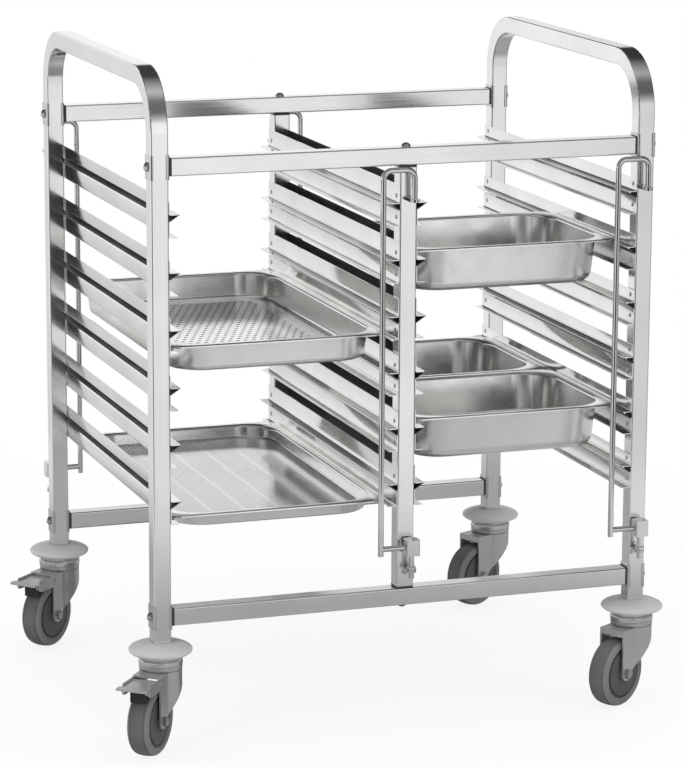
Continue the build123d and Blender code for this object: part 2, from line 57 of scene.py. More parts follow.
# %% [markdown]
# ## Camera
#
# The photograph looks down a little at the front and the left end. A long lens far away keeps the legs almost
# parallel. The numbers come from fitting the trolley's corners: place, heading, tilt and a very small roll.
# The lens is shifted because the picture was cropped off centre.

# %% Camera
IMAGE_WIDTH = 682
FOCAL_PIXELS = 3403.0
SENSOR = 36.0
CAMERA_PLACE = Vector((-1.6188, -4.6592, 1.5065))
HEADING = math.radians(19.05)
TILT = math.radians(12.63)
ROLL = math.radians(0.2455)
SHIFT_PIXELS = (9.17, 24.6)
SIGHT_END = 60


def camera_turn():
    level_share = math.cos(TILT)
    forward = Vector((math.sin(HEADING) * level_share, math.cos(HEADING) * level_share, -math.sin(TILT)))
    level = forward.cross(Vector((0, 0, 1))).normalized()
    upright = level.cross(forward)
    right = level * math.cos(ROLL) + upright * math.sin(ROLL)
    up = upright * math.cos(ROLL) - level * math.sin(ROLL)
    return Matrix((right, up, -forward)).transposed().to_4x4()


def make_camera():
    lens = bpy.data.cameras.new("photo_camera")
    lens.sensor_fit = "HORIZONTAL"
    lens.sensor_width = SENSOR
    lens.lens = FOCAL_PIXELS / IMAGE_WIDTH * SENSOR
    lens.shift_x = SHIFT_PIXELS[0] / IMAGE_WIDTH
    lens.shift_y = SHIFT_PIXELS[1] / IMAGE_WIDTH
    lens.clip_end = SIGHT_END
    camera = bpy.data.objects.new("photo_camera", lens)
    camera.matrix_world = Matrix.Translation(CAMERA_PLACE) @ camera_turn()
    bpy.context.scene.collection.objects.link(camera)
    bpy.context.scene.camera = camera
    return camera


photo_camera = make_camera()
bpy.context.scene.view_settings.view_transform = "Standard"
print("lens", round(photo_camera.data.lens, 1), "mm")

# %% [markdown]
# ## Node helpers
#
# The floor and the room show one thing to the camera, another to mirroring steel and a third to matt
# surfaces. A few small helpers build the nodes for that: which rays are asked about, a fade between two
# levels, a ramp of grey levels, the product of two values and a mix of two shaders.

# %% Node helpers
CAMERA_RAYS = ["Is Camera Ray"]
MIRROR_RAYS = ["Is Glossy Ray", "Is Transmission Ray"]


def ray_share(tree, names):
    path = tree.nodes.new("ShaderNodeLightPath")
    total = path.outputs[names[0]]
    for ray in names[1:]:
        either = tree.nodes.new("ShaderNodeMath")
        either.operation = "MAXIMUM"
        tree.links.new(total, either.inputs[0])
        tree.links.new(path.outputs[ray], either.inputs[1])
        total = either.outputs[0]
    return total


def fade_out(tree, distance, fade):
    near, far, near_level, far_level = fade
    change = tree.nodes.new("ShaderNodeMapRange")
    change.inputs["From Min"].default_value = near
    change.inputs["From Max"].default_value = far
    change.inputs["To Min"].default_value = near_level
    change.inputs["To Max"].default_value = far_level
    tree.links.new(distance, change.inputs["Value"])
    return change.outputs["Result"]


def level_ramp(tree, value, steps):
    first, last = steps[0][0], steps[-1][0]
    bands = tree.nodes.new("ShaderNodeValToRGB")
    ramp = bands.color_ramp
    while len(ramp.elements) < len(steps):
        ramp.elements.new(0.5)
    for element, (at, level) in zip(ramp.elements, steps):
        element.position = (at - first) / (last - first)
        element.color = (level, level, level, 1)
    tree.links.new(fade_out(tree, value, (first, last, 0.0, 1.0)), bands.inputs["Fac"])
    return bands.outputs["Color"]


def product(tree, first, second):
    both = tree.nodes.new("ShaderNodeMath")
    both.operation = "MULTIPLY"
    tree.links.new(first, both.inputs[0])
    tree.links.new(second, both.inputs[1])
    return both.outputs[0]


def mix(tree, share, first, second):
    blend = tree.nodes.new("ShaderNodeMixShader")
    tree.links.new(share, blend.inputs["Fac"])
    tree.links.new(first, blend.inputs[1])
    tree.links.new(second, blend.inputs[2])
    return blend.outputs[0]


# %% [markdown]
# ## Floor
#
# The floor is a pale round sheet. The camera sees it almost white, with the trolley's soft shadow left in it,
# and it reaches plain white at its border, so no edge shows. Polished steel sees a glow with painted shade
# under the trolley, where little light comes in, lighter further out. Each ring is a distance in metres and a
# level.

# %% Floor
FLOOR_RADIUS = 1.7
FLOOR_STEPS = 96
FLOOR_TONE = 0.9
CAMERA_FADE = (0.45, 1.6, 0.86, 1.0)
MIRROR_RINGS = [
    (0.0, 0.05), (0.22, 0.06), (0.36, 0.42), (0.60, 0.40), (0.95, 0.36), (1.35, 0.68), (1.7, 0.80)]


def floor_finish():
    finish = bpy.data.materials.new("pale_floor")
    finish.use_nodes = True
    tree = finish.node_tree
    shader = tree.nodes["Principled BSDF"]
    shader.inputs["Base Color"].default_value = (FLOOR_TONE, FLOOR_TONE, FLOOR_TONE, 1)
    shader.inputs["Roughness"].default_value = 1.0
    shader.inputs["Specular IOR Level"].default_value = 0.0
    place = tree.nodes.new("ShaderNodeTexCoord")
    away = tree.nodes.new("ShaderNodeVectorMath")
    away.operation = "LENGTH"
    tree.links.new(place.outputs["Object"], away.inputs[0])
    distance = away.outputs["Value"]
    glow = tree.nodes.new("ShaderNodeEmission")
    share = product(tree, fade_out(tree, distance, CAMERA_FADE), ray_share(tree, CAMERA_RAYS))
    seen = mix(tree, share, shader.outputs[0], glow.outputs[0])
    # Painted shade: steel mirrors a glowing floor whose levels, from MIRROR_RINGS, are dark under the
    # trolley.
    painted_floor_shade = tree.nodes.new("ShaderNodeEmission")
    tree.links.new(level_ramp(tree, distance, MIRROR_RINGS), painted_floor_shade.inputs["Color"])
    mirrored = mix(tree, ray_share(tree, MIRROR_RAYS), seen, painted_floor_shade.outputs[0])
    tree.links.new(mirrored, tree.nodes["Material Output"].inputs["Surface"])
    return finish


def make_floor():
    sheet = bmesh.new()
    bmesh.ops.create_circle(sheet, cap_ends=True, radius=FLOOR_RADIUS, segments=FLOOR_STEPS)
    mesh = bpy.data.meshes.new("studio_floor")
    sheet.to_mesh(mesh)
    sheet.free()
    floor = bpy.data.objects.new("studio_floor", mesh)
    bpy.context.scene.collection.objects.link(floor)
    mesh.materials.append(floor_finish())


make_floor()
print("floor", FLOOR_RADIUS * 2, "m wide")

# %% [markdown]
# ## Studio light
#
# Polished steel shows its surroundings, so the room is most of the look. A white sheet hangs behind the
# trolley and runs out under it, and level surfaces mirror it. Above the sheet's top edge the room is dark,
# with one soft bright strip overhead: that gives the bends of the handles their black start and their light
# band. The right side is dimmer, and the place where the photographer stands is dark. The room's levels are
# listed by their angle in degrees, from the back (0) over the top (90) to the front (180). Matt surfaces are
# lit by a plain even level and three soft lamps, so that a colour comes out as it is written.

# %% Room
ROOM_TURN = [
    (-180, 1.0), (-173, 0.96), (-166, 0.88), (-90, 0.60), (-10, 0.95), (15, 1.0), (19, 0.10), (24, 0.04),
    (70, 0.04), (90, 0.30), (108, 0.55), (127, 0.16), (150, 0.14), (162, 0.55), (170, 1.0), (180, 1.0)]
PHOTOGRAPHER = {"towards": (-0.32, -0.92, -0.22), "edge": 34, "core": 18, "level": 0.02}
BACK_GAP = {"towards": (-0.12, 0.97, -0.20), "edge": 16, "core": 5, "level": 0.72}
RIGHT_FADE = (0.34, 0.50, 1.0, 0.45)
PLAIN_LEVEL, WHITE_LEVEL = 0.80, 1.0


def dark_patch(tree, place, towards, edge, core, level):
    facing = tree.nodes.new("ShaderNodeVectorMath")
    facing.operation = "DOT_PRODUCT"
    facing.inputs[1].default_value = Vector(towards).normalized()
    tree.links.new(place, facing.inputs[0])
    edge_cosine, core_cosine = math.cos(math.radians(edge)), math.cos(math.radians(core))
    return fade_out(tree, facing.outputs["Value"], (edge_cosine, core_cosine, 1.0, level))


def room_levels(tree, split):
    turn = tree.nodes.new("ShaderNodeMath")
    turn.operation = "ARCTAN2"
    tree.links.new(split.outputs["Z"], turn.inputs[0])
    tree.links.new(split.outputs["Y"], turn.inputs[1])
    return level_ramp(tree, turn.outputs[0], [(math.radians(angle), level) for angle, level in ROOM_TURN])


def even_light(tree, strength):
    light = tree.nodes.new("ShaderNodeBackground")
    light.inputs["Color"].default_value = (1, 1, 1, 1)
    light.inputs["Strength"].default_value = strength
    return light.outputs[0]


def mirrored_room(tree):
    place = tree.nodes.new("ShaderNodeTexCoord").outputs["Generated"]
    split = tree.nodes.new("ShaderNodeSeparateXYZ")
    tree.links.new(place, split.inputs[0])
    right_side = fade_out(tree, split.outputs["X"], RIGHT_FADE)
    shades = product(tree, dark_patch(tree, place, **PHOTOGRAPHER), right_side)
    shades = product(tree, shades, dark_patch(tree, place, **BACK_GAP))
    room = tree.nodes.new("ShaderNodeBackground")
    tree.links.new(room_levels(tree, split), room.inputs["Color"])
    tree.links.new(shades, room.inputs["Strength"])
    return room.outputs[0]


def make_room():
    world = bpy.data.worlds.new("studio_room")
    bpy.context.scene.world = world
    world.use_nodes = True
    tree = world.node_tree
    tree.nodes.clear()
    plain = even_light(tree, PLAIN_LEVEL)
    mirrored = mix(tree, ray_share(tree, MIRROR_RAYS), plain, mirrored_room(tree))
    seen = mix(tree, ray_share(tree, CAMERA_RAYS), mirrored, even_light(tree, WHITE_LEVEL))
    out = tree.nodes.new("ShaderNodeOutputWorld")
    tree.links.new(seen, out.inputs["Surface"])


make_room()
print("room", bpy.context.scene.world.name)

# %% [markdown]
# The three soft lamps hang left, right and above. Steel does not mirror them, because a lamp's sharp outline
# would show in every polished tube; the room above already gives the steel what it mirrors.

# %% Soft lamps
LAMP_AIM = Vector((0, 0, 0.5))
SOFTBOXES = [
    ("left_softbox", Vector((-3.2, -1.8, 2.2)), (1.6, 2.2), 30),
    ("right_softbox", Vector((3.0, -2.6, 2.4)), (1.2, 2.2), 20),
    ("top_softbox", Vector((0.2, 0.4, 3.4)), (2.0, 2.0), 22)]


def make_softbox(name, place, size, power):
    lamp = bpy.data.lights.new(name, "AREA")
    lamp.shape = "RECTANGLE"
    lamp.size = size[0]
    lamp.size_y = size[1]
    lamp.energy = power
    holder = bpy.data.objects.new(name, lamp)
    turn = (LAMP_AIM - place).to_track_quat("-Z", "Y").to_matrix().to_4x4()
    holder.matrix_world = Matrix.Translation(place) @ turn
    holder.visible_glossy = False
    bpy.context.scene.collection.objects.link(holder)


for name, place, size, power in SOFTBOXES:
    make_softbox(name, place, size, power)

# %% [markdown]
# ## Finishes
#
# Every steel finish is a metal whose roughness and tone follow a stretched noise, so the polishing marks run
# along the tube or the sheet as they do on the real one. The noise reads Object coordinates, which stay with
# the piece. Drawn pans are never quite flat, so their finish has a second, long wave that bends what they
# mirror.

# %% Finish helpers
NOISE_LOW, NOISE_HIGH = 0.3, 0.7
WARMTH = 0.985


def start_finish(name):
    finish = bpy.data.materials.new(name)
    finish.use_nodes = True
    tree = finish.node_tree
    return finish, tree, tree.nodes["Principled BSDF"]


def grain(tree, scale, detail, stretch=(1, 1, 1)):
    place = tree.nodes.new("ShaderNodeTexCoord")
    mapping = tree.nodes.new("ShaderNodeMapping")
    mapping.inputs["Scale"].default_value = stretch
    noise = tree.nodes.new("ShaderNodeTexNoise")
    noise.inputs["Scale"].default_value = scale
    noise.inputs["Detail"].default_value = detail
    tree.links.new(place.outputs["Object"], mapping.inputs["Vector"])
    tree.links.new(mapping.outputs["Vector"], noise.inputs["Vector"])
    return noise.outputs["Fac"]


def tone(tree, source, low, high):
    ramp = tree.nodes.new("ShaderNodeValToRGB")
    ramp.color_ramp.elements[0].position = NOISE_LOW
    ramp.color_ramp.elements[0].color = (*low, 1)
    ramp.color_ramp.elements[1].position = NOISE_HIGH
    ramp.color_ramp.elements[1].color = (*high, 1)
    tree.links.new(source, ramp.inputs["Fac"])
    return ramp.outputs["Color"]


def spread(tree, source, band):
    return fade_out(tree, source, (NOISE_LOW, NOISE_HIGH, band[0], band[1]))


def relief(tree, source, strength, distance, under=None):
    bump = tree.nodes.new("ShaderNodeBump")
    bump.inputs["Strength"].default_value = strength
    bump.inputs["Distance"].default_value = distance
    tree.links.new(source, bump.inputs["Height"])
    if under:
        tree.links.new(under, bump.inputs["Normal"])
    return bump.outputs["Normal"]


def grey(level):
    return (level, level, level * WARMTH)


# %% [markdown]
# A steel finish takes the direction of its marks, its darkest and lightest tone and its range of roughness.
# The pressed and drawn sheets have little relief, and most of them are less metallic, because dull sheet
# scatters more light than a polished tube.

# %% Steel finishes
ALONG, ACROSS, EVENLY = 6.0, 700.0, 40.0
X_MARKS = (ALONG, ACROSS, ACROSS)
Y_MARKS = (ACROSS, ALONG, ACROSS)
Z_MARKS = (ACROSS, ACROSS, ALONG)
FINE_MARKS = (ACROSS, ACROSS, ACROSS)
EVEN_MARKS = (EVENLY, EVENLY, EVENLY)
STEEL_CLOUD, WAVE_SCALE = 9.0, 11.0
MARK_DEPTH = 0.0004
SOFT_BUMP = 0.004


def steel(name, stretch, low, high, rough, bump=0.02, metal=1.0, wave=0):
    finish, tree, shader = start_finish(name)
    shader.inputs["Metallic"].default_value = metal
    marks = grain(tree, 1.0, 2.0, stretch)
    cloud = grain(tree, STEEL_CLOUD, 2.0)
    tree.links.new(tone(tree, cloud, grey(low), grey(high)), shader.inputs["Base Color"])
    tree.links.new(spread(tree, marks, rough), shader.inputs["Roughness"])
    swell = relief(tree, grain(tree, WAVE_SCALE, 1.0), 1.0, wave) if wave else None
    tree.links.new(relief(tree, marks, bump, MARK_DEPTH, swell), shader.inputs["Normal"])
    return finish


tube_across = steel("polished_tube_across", X_MARKS, 0.84, 0.92, (0.12, 0.19))
tube_upright = steel("polished_tube_upright", Z_MARKS, 0.84, 0.92, (0.12, 0.19))
runner_sheet = steel("rolled_runner_sheet", Y_MARKS, 0.78, 0.88, (0.07, 0.15))
# Painted shade: the hollow inside a runner's ledge and the backs of the post runners are dark grey steel.
fold_shadow = steel("shaded_runner_fold_inside", Y_MARKS, 0.10, 0.20, (0.35, 0.5))
painted_shade_runner_back = steel("shaded_runner_back", Y_MARKS, 0.24, 0.34, (0.35, 0.5))
saddle_sheet = steel("pressed_saddle_sheet", Z_MARKS, 0.62, 0.74, (0.14, 0.24))
rod_steel = steel("bright_rod", Z_MARKS, 0.68, 0.80, (0.06, 0.12))
bolt_steel = steel("turned_bolt", FINE_MARKS, 0.45, 0.60, (0.14, 0.26))
rivet_steel = steel("rivet_head", FINE_MARKS, 0.66, 0.78, (0.14, 0.24))
zinc_steel = steel("zinc_pressing", EVEN_MARKS, 0.49, 0.57, (0.20, 0.28), SOFT_BUMP, 0.65)
race_steel = steel("caster_race", EVEN_MARKS, 0.66, 0.76, (0.16, 0.24), SOFT_BUMP, 0.8)
pan_steel = steel("drawn_pan", EVEN_MARKS, 0.86, 0.93, (0.20, 0.28), SOFT_BUMP, 0.85, 0.0010)
pan_inside = steel("drawn_pan_inside", EVEN_MARKS, 0.90, 0.95, (0.15, 0.22), SOFT_BUMP, 1.0, 0.0008)
pan_floor_steel = steel("perforated_pan_floor", Y_MARKS, 0.88, 0.94, (0.10, 0.15), 0.01, 0.75)
# Painted shade: the walls of the holes in the pan floors are dark grey steel, the shade inside the holes.
shaded_hole_edge = steel("shaded_hole_wall", FINE_MARKS, 0.10, 0.18, (0.4, 0.6))
shaded_fine_hole_edge = steel("shaded_punched_hole_wall", FINE_MARKS, 0.30, 0.40, (0.4, 0.6))
print("steel finishes made")

# %% [markdown]
# The rubber and plastic parts are not metal: the bumper discs are a soft light grey, the tyres a darker grey
# rubber, the hubs a moulded grey plastic and the brake shoes black.

# %% Rubber and plastic finishes
RUBBER_CLOUD = 14.0
PEBBLE_DEPTH = 0.0003


def moulded(name, low, high, rough, scale=260.0, bump=0.12):
    finish, tree, shader = start_finish(name)
    pebble = grain(tree, scale, 4.0)
    cloud = grain(tree, RUBBER_CLOUD, 3.0)
    tree.links.new(tone(tree, cloud, low, high), shader.inputs["Base Color"])
    tree.links.new(spread(tree, pebble, rough), shader.inputs["Roughness"])
    tree.links.new(relief(tree, pebble, bump, PEBBLE_DEPTH), shader.inputs["Normal"])
    return finish


bumper_rubber = moulded("grey_bumper_rubber", (0.52, 0.515, 0.51), (0.58, 0.575, 0.57), (0.5, 0.7))
tread_rubber = moulded(
    "worn_tread_rubber", (0.085, 0.083, 0.083), (0.15, 0.147, 0.147), (0.5, 0.7), scale=420.0, bump=0.3)
tyre_rubber = moulded("grey_tyre_rubber", (0.17, 0.167, 0.167), (0.21, 0.207, 0.207), (0.45, 0.6))
hub_plastic = moulded("grey_hub_plastic", (0.070, 0.068, 0.068), (0.095, 0.093, 0.093), (0.4, 0.6))
shoe_plastic = moulded("black_shoe_plastic", (0.010, 0.010, 0.010), (0.02, 0.02, 0.02), (0.4, 0.6))
plug_plastic = moulded("dark_plug_plastic", (0.03, 0.03, 0.03), (0.05, 0.05, 0.05), (0.4, 0.6))
print("moulded finishes made")

# %% [markdown]
# Each solid takes the finish of the first word in this list that is found in its name, so longer words stand
# before the shorter ones that they contain.

# %% Finishes on the solids
NODE_FINISHES = [
    ("hoop_runners", runner_sheet), ("post_left_runners", runner_sheet), ("post_right_runners", runner_sheet),
    ("hoop", tube_upright), ("rail_bolts", bolt_steel), ("post_bolts", bolt_steel), ("rail", tube_across),
    ("post", tube_upright), ("saddles", saddle_sheet), ("plugs", plug_plastic), ("inserts", plug_plastic),
    ("lugs", saddle_sheet), ("rod", rod_steel), ("bumper", bumper_rubber), ("head", race_steel),
    ("stems", bolt_steel), ("fork", zinc_steel), ("axle", bolt_steel), ("hub", hub_plastic),
    ("tyre", tyre_rubber), ("pedal", zinc_steel), ("shoe", shoe_plastic), ("pan", pan_steel),
    ("tray", pan_steel)]


def finish_for(name):
    for word, finish in NODE_FINISHES:
        if word in name:
            return finish
    raise ValueError("no finish for " + name)


for name, piece in nodes.items():
    piece.data.materials.clear()
    piece.data.materials.append(finish_for(name))
print("finished nodes", len(nodes))

# %% [markdown]
# ## New pieces
#
# Each new piece is a mesh made with bmesh operators at its real place. One helper turns the working mesh into
# an object: it turns the faces outward, shades the soft bends smooth and keeps the sheared edges sharp, puts
# the piece on the body it rides on and hides the solid it stands for, if any.

# %% Piece helper
MM = 0.001
WELD = 0.01 * MM
CREASE = math.radians(35)


def place_piece(name, shape, finishes, body, node=None):
    bmesh.ops.recalc_face_normals(shape, faces=shape.faces)
    mesh = bpy.data.meshes.new(name)
    shape.to_mesh(mesh)
    shape.free()
    mesh.shade_smooth()
    mesh.set_sharp_from_angle(angle=CREASE)
    for finish in finishes:
        mesh.materials.append(finish)
    piece = bpy.data.objects.new(name, mesh)
    bpy.context.scene.collection.objects.link(piece)
    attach(piece, body)
    if node:
        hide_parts(node)
    print(name, len(mesh.polygons), "faces")


def everything(shape):
    return shape.verts[:] + shape.edges[:] + shape.faces[:]


def only_verts(geometry):
    return [item for item in geometry if isinstance(item, bmesh.types.BMVert)]


# %% [markdown]
# ## Pans
#
# A gastronorm pan is drawn from one sheet, so its section is the same all the way round: the turned-down
# edge, the flat rim, a round shoulder, the leaning wall and a small round down to the floor. One could sculpt
# this, or sweep a curve. Here each line of the section is a rounded rectangle, and neighbouring rectangles
# are bridged, because then a corner can grow from tight at the rim to wide at the body as it really does.

# %% Pan rings
CORNER_STEPS = 8
SHEET = 1.0 * MM
RIM_CORNER, BODY_CORNER, BODY_INSET = 22.0 * MM, 55.0 * MM, 13.5 * MM
RIM_END = 10 * MM
WALL_SLOPE = math.tan(math.radians(5))
FLOOR_ROUND = 0.2
ROUND_STEP = 15
RIM_LINES = [
    (0.0, 2.5), (0.0, 1.0), (0.4, 0.3), (1.2, 0.0), (10.2, 0.0), (12.2, 0.6), (13.3, 1.9), (13.6, 3.5)]


def rounded_ring(shape, half_x, half_y, corner, z):
    before = set(shape.verts)
    made = bmesh.ops.create_grid(shape, x_segments=1, y_segments=1, size=1)["verts"]
    bmesh.ops.scale(shape, vec=(half_x, half_y, 1), verts=made)
    bmesh.ops.translate(shape, vec=(0, 0, z), verts=made)
    bmesh.ops.bevel(
        shape, geom=made, offset=corner, affect="VERTICES", segments=CORNER_STEPS, profile=0.5, material=-1)
    ring = [vert for vert in shape.verts if vert not in before]
    face = ring[0].link_faces[0]
    edges = list(face.edges)
    bmesh.ops.delete(shape, geom=[face], context="FACES_ONLY")
    return edges


def pan_lines(depth):
    lines = [(inset * MM, down * MM) for inset, down in RIM_LINES]
    floor_down = depth - SHEET
    radius = FLOOR_ROUND * depth - SHEET
    wall = BODY_INSET + WALL_SLOPE * floor_down
    for turn in range(0, 91, ROUND_STEP):
        angle = math.radians(turn)
        inset = wall + radius * (1 - math.cos(angle))
        lines.append((inset, floor_down - radius * (1 - math.sin(angle))))
    return lines


def corner_at(inset):
    if inset < RIM_END:
        return RIM_CORNER - inset
    return BODY_CORNER + BODY_INSET - inset


def pan_rings(shape, half_x, half_y, depth):
    rings = []
    for inset, down in pan_lines(depth):
        rings.append(rounded_ring(shape, half_x - inset, half_y - inset, corner_at(inset), -down))
    for upper, lower in zip(rings, rings[1:]):
        bmesh.ops.bridge_loops(shape, edges=upper + lower)
    return rings[-1]


# %% [markdown]
# The perforated floors could be cut with a thousand booleans, which is slow and leaves poor faces. Instead
# one cell is made, a small rectangle bridged to an octagon, and repeated: Blender's spin with no angle and a
# step is a plain array. The cells are welded, and the flat ground between the field of holes and the round of
# the wall is filled.

# %% Perforated fields
def hole_cell(width, length, radius):
    field = bmesh.new()
    square = bmesh.ops.create_grid(field, x_segments=2, y_segments=2, size=0.5)["verts"]
    bmesh.ops.scale(field, vec=(width, length, 1), verts=square)
    middle = [vert for vert in square if vert.co.length < radius / 2]
    bmesh.ops.delete(field, geom=middle, context="VERTS")
    bmesh.ops.create_circle(field, cap_ends=False, radius=radius, segments=8)
    bmesh.ops.bridge_loops(field, edges=field.edges[:])
    return field


def repeat(field, step, count):
    bmesh.ops.spin(
        field, geom=everything(field), cent=(0, 0, 0), axis=(0, 0, 1), dvec=step, angle=0, steps=count - 1,
        use_duplicate=True)
    bmesh.ops.remove_doubles(field, verts=field.verts, dist=WELD)


def centre_field(field):
    low = Vector((min(v.co.x for v in field.verts), min(v.co.y for v in field.verts), 0))
    high = Vector((max(v.co.x for v in field.verts), max(v.co.y for v in field.verts), 0))
    bmesh.ops.translate(field, vec=(low + high) / -2, verts=field.verts)


def staggered_field(width, length, radius, columns, row_pairs):
    field = hole_cell(width, length, radius)
    repeat(field, (width, 0, 0), columns)
    copy = bmesh.ops.duplicate(field, geom=everything(field))["geom"]
    bmesh.ops.translate(field, vec=(width / 2, length, 0), verts=only_verts(copy))
    repeat(field, (0, 2 * length, 0), row_pairs)
    centre_field(field)
    return field


def banded_field(pitch, radius, columns, bands, gap, rows):
    field = hole_cell(pitch, pitch, radius)
    repeat(field, (pitch, 0, 0), columns)
    repeat(field, (0, pitch, 0), rows)
    repeat(field, (columns * pitch + gap, 0, 0), bands)
    centre_field(field)
    return field


def add_field(shape, field, z, radius, border):
    bmesh.ops.translate(field, vec=(0, 0, z), verts=field.verts)
    sheet = bpy.data.meshes.new("hole_field")
    field.to_mesh(sheet)
    field.free()
    known = set(shape.edges)
    shape.from_mesh(sheet)
    bpy.data.meshes.remove(sheet)
    added = [edge for edge in shape.edges if edge not in known and edge.is_boundary]
    outline = [edge for edge in added if edge.calc_length() > radius]
    bmesh.ops.triangle_fill(shape, use_beauty=True, edges=outline + border, normal=(0, 0, 1))


# %% [markdown]
# A pan is made rim up around its own middle, gets its sheet's thickness, and is then moved to where its
# solid stands. The full pan has large holes in staggered rows, the tray fine ones in bands with plain strips
# between.

# %% Pans
FULL_HOLE, TRAY_HOLE = 2.7 * MM, 0.95 * MM
FULL_WIDTH, FULL_LENGTH, FULL_COLUMNS, FULL_ROW_PAIRS = 12 * MM, 14 * MM, 19, 16
TRAY_PITCH, TRAY_GAP = 5.2 * MM, 7 * MM
TRAY_COLUMNS, TRAY_BANDS, TRAY_ROWS = 8, 5, 84
FLAT_LIMIT = 0.1 * MM
INSIDE, FLOOR, HOLE = 1, 2, 3


def pan_sheet(half, depth, field, radius):
    shape = bmesh.new()
    border = pan_rings(shape, half.x, half.y, depth)
    if field:
        add_field(shape, field, SHEET - depth, radius, border)
    else:
        bmesh.ops.contextual_create(shape, geom=border)
    bmesh.ops.recalc_face_normals(shape, faces=shape.faces)
    return shape


def thicken_pan(shape, floor_z, perforated):
    flat = [face for face in shape.faces if abs(face.calc_center_median().z - floor_z) < FLAT_LIMIT]
    if flat[0].normal.z < 0:
        bmesh.ops.reverse_faces(shape, faces=shape.faces)
    inside = shape.faces[:]
    bmesh.ops.solidify(shape, geom=inside, thickness=SHEET)
    for face in inside:
        face.material_index = INSIDE
    if perforated:
        for face in flat:
            face.material_index = FLOOR
        # Painted shade: the hole walls below the floor take the dark hole finish.
        for face in set(shape.faces) - set(inside):
            if abs(face.normal.z) < 0.5 and face.calc_center_median().z < floor_z:
                face.material_index = HOLE


def make_pan(name, field=None, radius=0, edge=shaded_hole_edge):
    low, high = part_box(name)
    half = (Vector(high) - Vector(low)) / 2
    middle = (Vector(high) + Vector(low)) / 2
    depth = high[2] - low[2]
    shape = pan_sheet(half, depth, field, radius)
    thicken_pan(shape, SHEET - depth, field is not None)
    bmesh.ops.translate(shape, vec=(middle.x, middle.y, high[2]), verts=shape.verts)
    heights = [vert.co.z for vert in shape.verts]
    print(name, "heights", round(min(heights), 4), round(max(heights), 4))
    finishes = [pan_steel, pan_inside, pan_floor_steel, edge]
    place_piece(name + "_drawn", shape, finishes, name, name)


full_field = staggered_field(FULL_WIDTH, FULL_LENGTH, FULL_HOLE, FULL_COLUMNS, FULL_ROW_PAIRS)
make_pan("full_pan", full_field, FULL_HOLE)
tray_field = banded_field(TRAY_PITCH, TRAY_HOLE, TRAY_COLUMNS, TRAY_BANDS, TRAY_GAP, TRAY_ROWS)
make_pan("drain_tray", tray_field, TRAY_HOLE, shaded_fine_hole_edge)
for half_pan in ("upper_half_pan", "lower_front_half_pan", "lower_rear_half_pan"):
    make_pan(half_pan)

# %% [markdown]
# ## Runners
#
# A runner is one strip of sheet, folded lengthways: a flange against the tube, a ledge folded back on itself,
# a web and a lip. The flange is taller on the middle posts than on the hoops. A runner could be cut from a
# block, but the real one is folded, so this one is too: a chain of points is pulled out to a strip, its folds
# are rounded by bevel, and the strip gets its thickness on the tube's side. The hollow inside the ledge and
# the backs of the runners on the posts get painted shade: a dark grey steel where shade falls.
# Six levels are an array of one. Each fold below is a zone across the strip and the round that its bend
# gets, the ledge's nose first.

# %% Folded runners
RUNNER_LINE = [(1.2, 0.0), (16.9, 0.0), (1.2, -10.25), (1.2, -31.8), (12.5, -31.8)]
RUNNER_SHEET, RUNNER_DROP = 1.2 * MM, 33.0 * MM
HOOP_FLANGE, POST_FLANGE = 17.0, 25.0
RUNNER_LEVELS, RUNNER_PITCH = 6, 80.0 * MM
FOLDS = [(10 * MM, 20 * MM, 3.35 * MM), (0, 5 * MM, 1.5 * MM)]
HOLLOW_LOW, HOLLOW_HIGH = -10 * MM, -0.8 * MM
HOLLOW, BACK = 1, 2
COLUMNS = [
    ("left_hoop", 1, HOOP_FLANGE), ("post_left", -1, POST_FLANGE), ("post_right", 1, POST_FLANGE),
    ("right_hoop", -1, HOOP_FLANGE)]


def chain(shape, points):
    end = bmesh.ops.create_vert(shape, co=points[0])["vert"][0]
    for before, after in zip(points, points[1:]):
        end = bmesh.ops.extrude_vert_indiv(shape, verts=[end])["verts"][0]
        bmesh.ops.translate(shape, vec=Vector(after) - Vector(before), verts=[end])


def runner_strip(length, flange):
    strip = bmesh.new()
    line = [(RUNNER_LINE[0][0], flange)] + RUNNER_LINE
    chain(strip, [(across * MM, -length / 2, up * MM) for across, up in line])
    pulled = bmesh.ops.extrude_edge_only(strip, edges=strip.edges[:])["geom"]
    bmesh.ops.translate(strip, vec=(0, length, 0), verts=only_verts(pulled))
    for near, far, size in FOLDS:
        inner = [edge for edge in strip.edges if not edge.is_boundary]
        folds = [edge for edge in inner if near < edge.verts[0].co.x < far]
        bmesh.ops.bevel(
            strip, geom=folds, offset=size, affect="EDGES", segments=3, profile=0.5, material=-1)
    bmesh.ops.recalc_face_normals(strip, faces=strip.faces)
    upper = max(strip.faces, key=lambda face: face.calc_center_median().z)
    if upper.normal.x < 0:
        bmesh.ops.reverse_faces(strip, faces=strip.faces)
    return strip


def fold_runner(strip, shade_back):
    room_side = set(strip.faces)
    bmesh.ops.solidify(strip, geom=strip.faces[:], thickness=RUNNER_SHEET)
    bmesh.ops.recalc_face_normals(strip, faces=strip.faces)
    # Painted shade: faces in the ledge's hollow and the tube-side backs of the post runners take the dark
    # finishes.
    for face in set(strip.faces) - room_side:
        middle = face.calc_center_median()
        if HOLLOW_LOW < middle.z < HOLLOW_HIGH and middle.x > RUNNER_SHEET:
            face.material_index = HOLLOW
        elif shade_back and middle.x < RUNNER_SHEET / 3:
            face.material_index = BACK


def stack(column, side, low, high):
    bmesh.ops.scale(column, vec=(side, 1, 1), verts=column.verts)
    repeat(column, (0, 0, RUNNER_PITCH), RUNNER_LEVELS)
    wall = low[0] if side > 0 else high[0]
    middle = (low[1] + high[1]) / 2
    bmesh.ops.translate(column, vec=(wall, middle, low[2] + RUNNER_DROP), verts=column.verts)


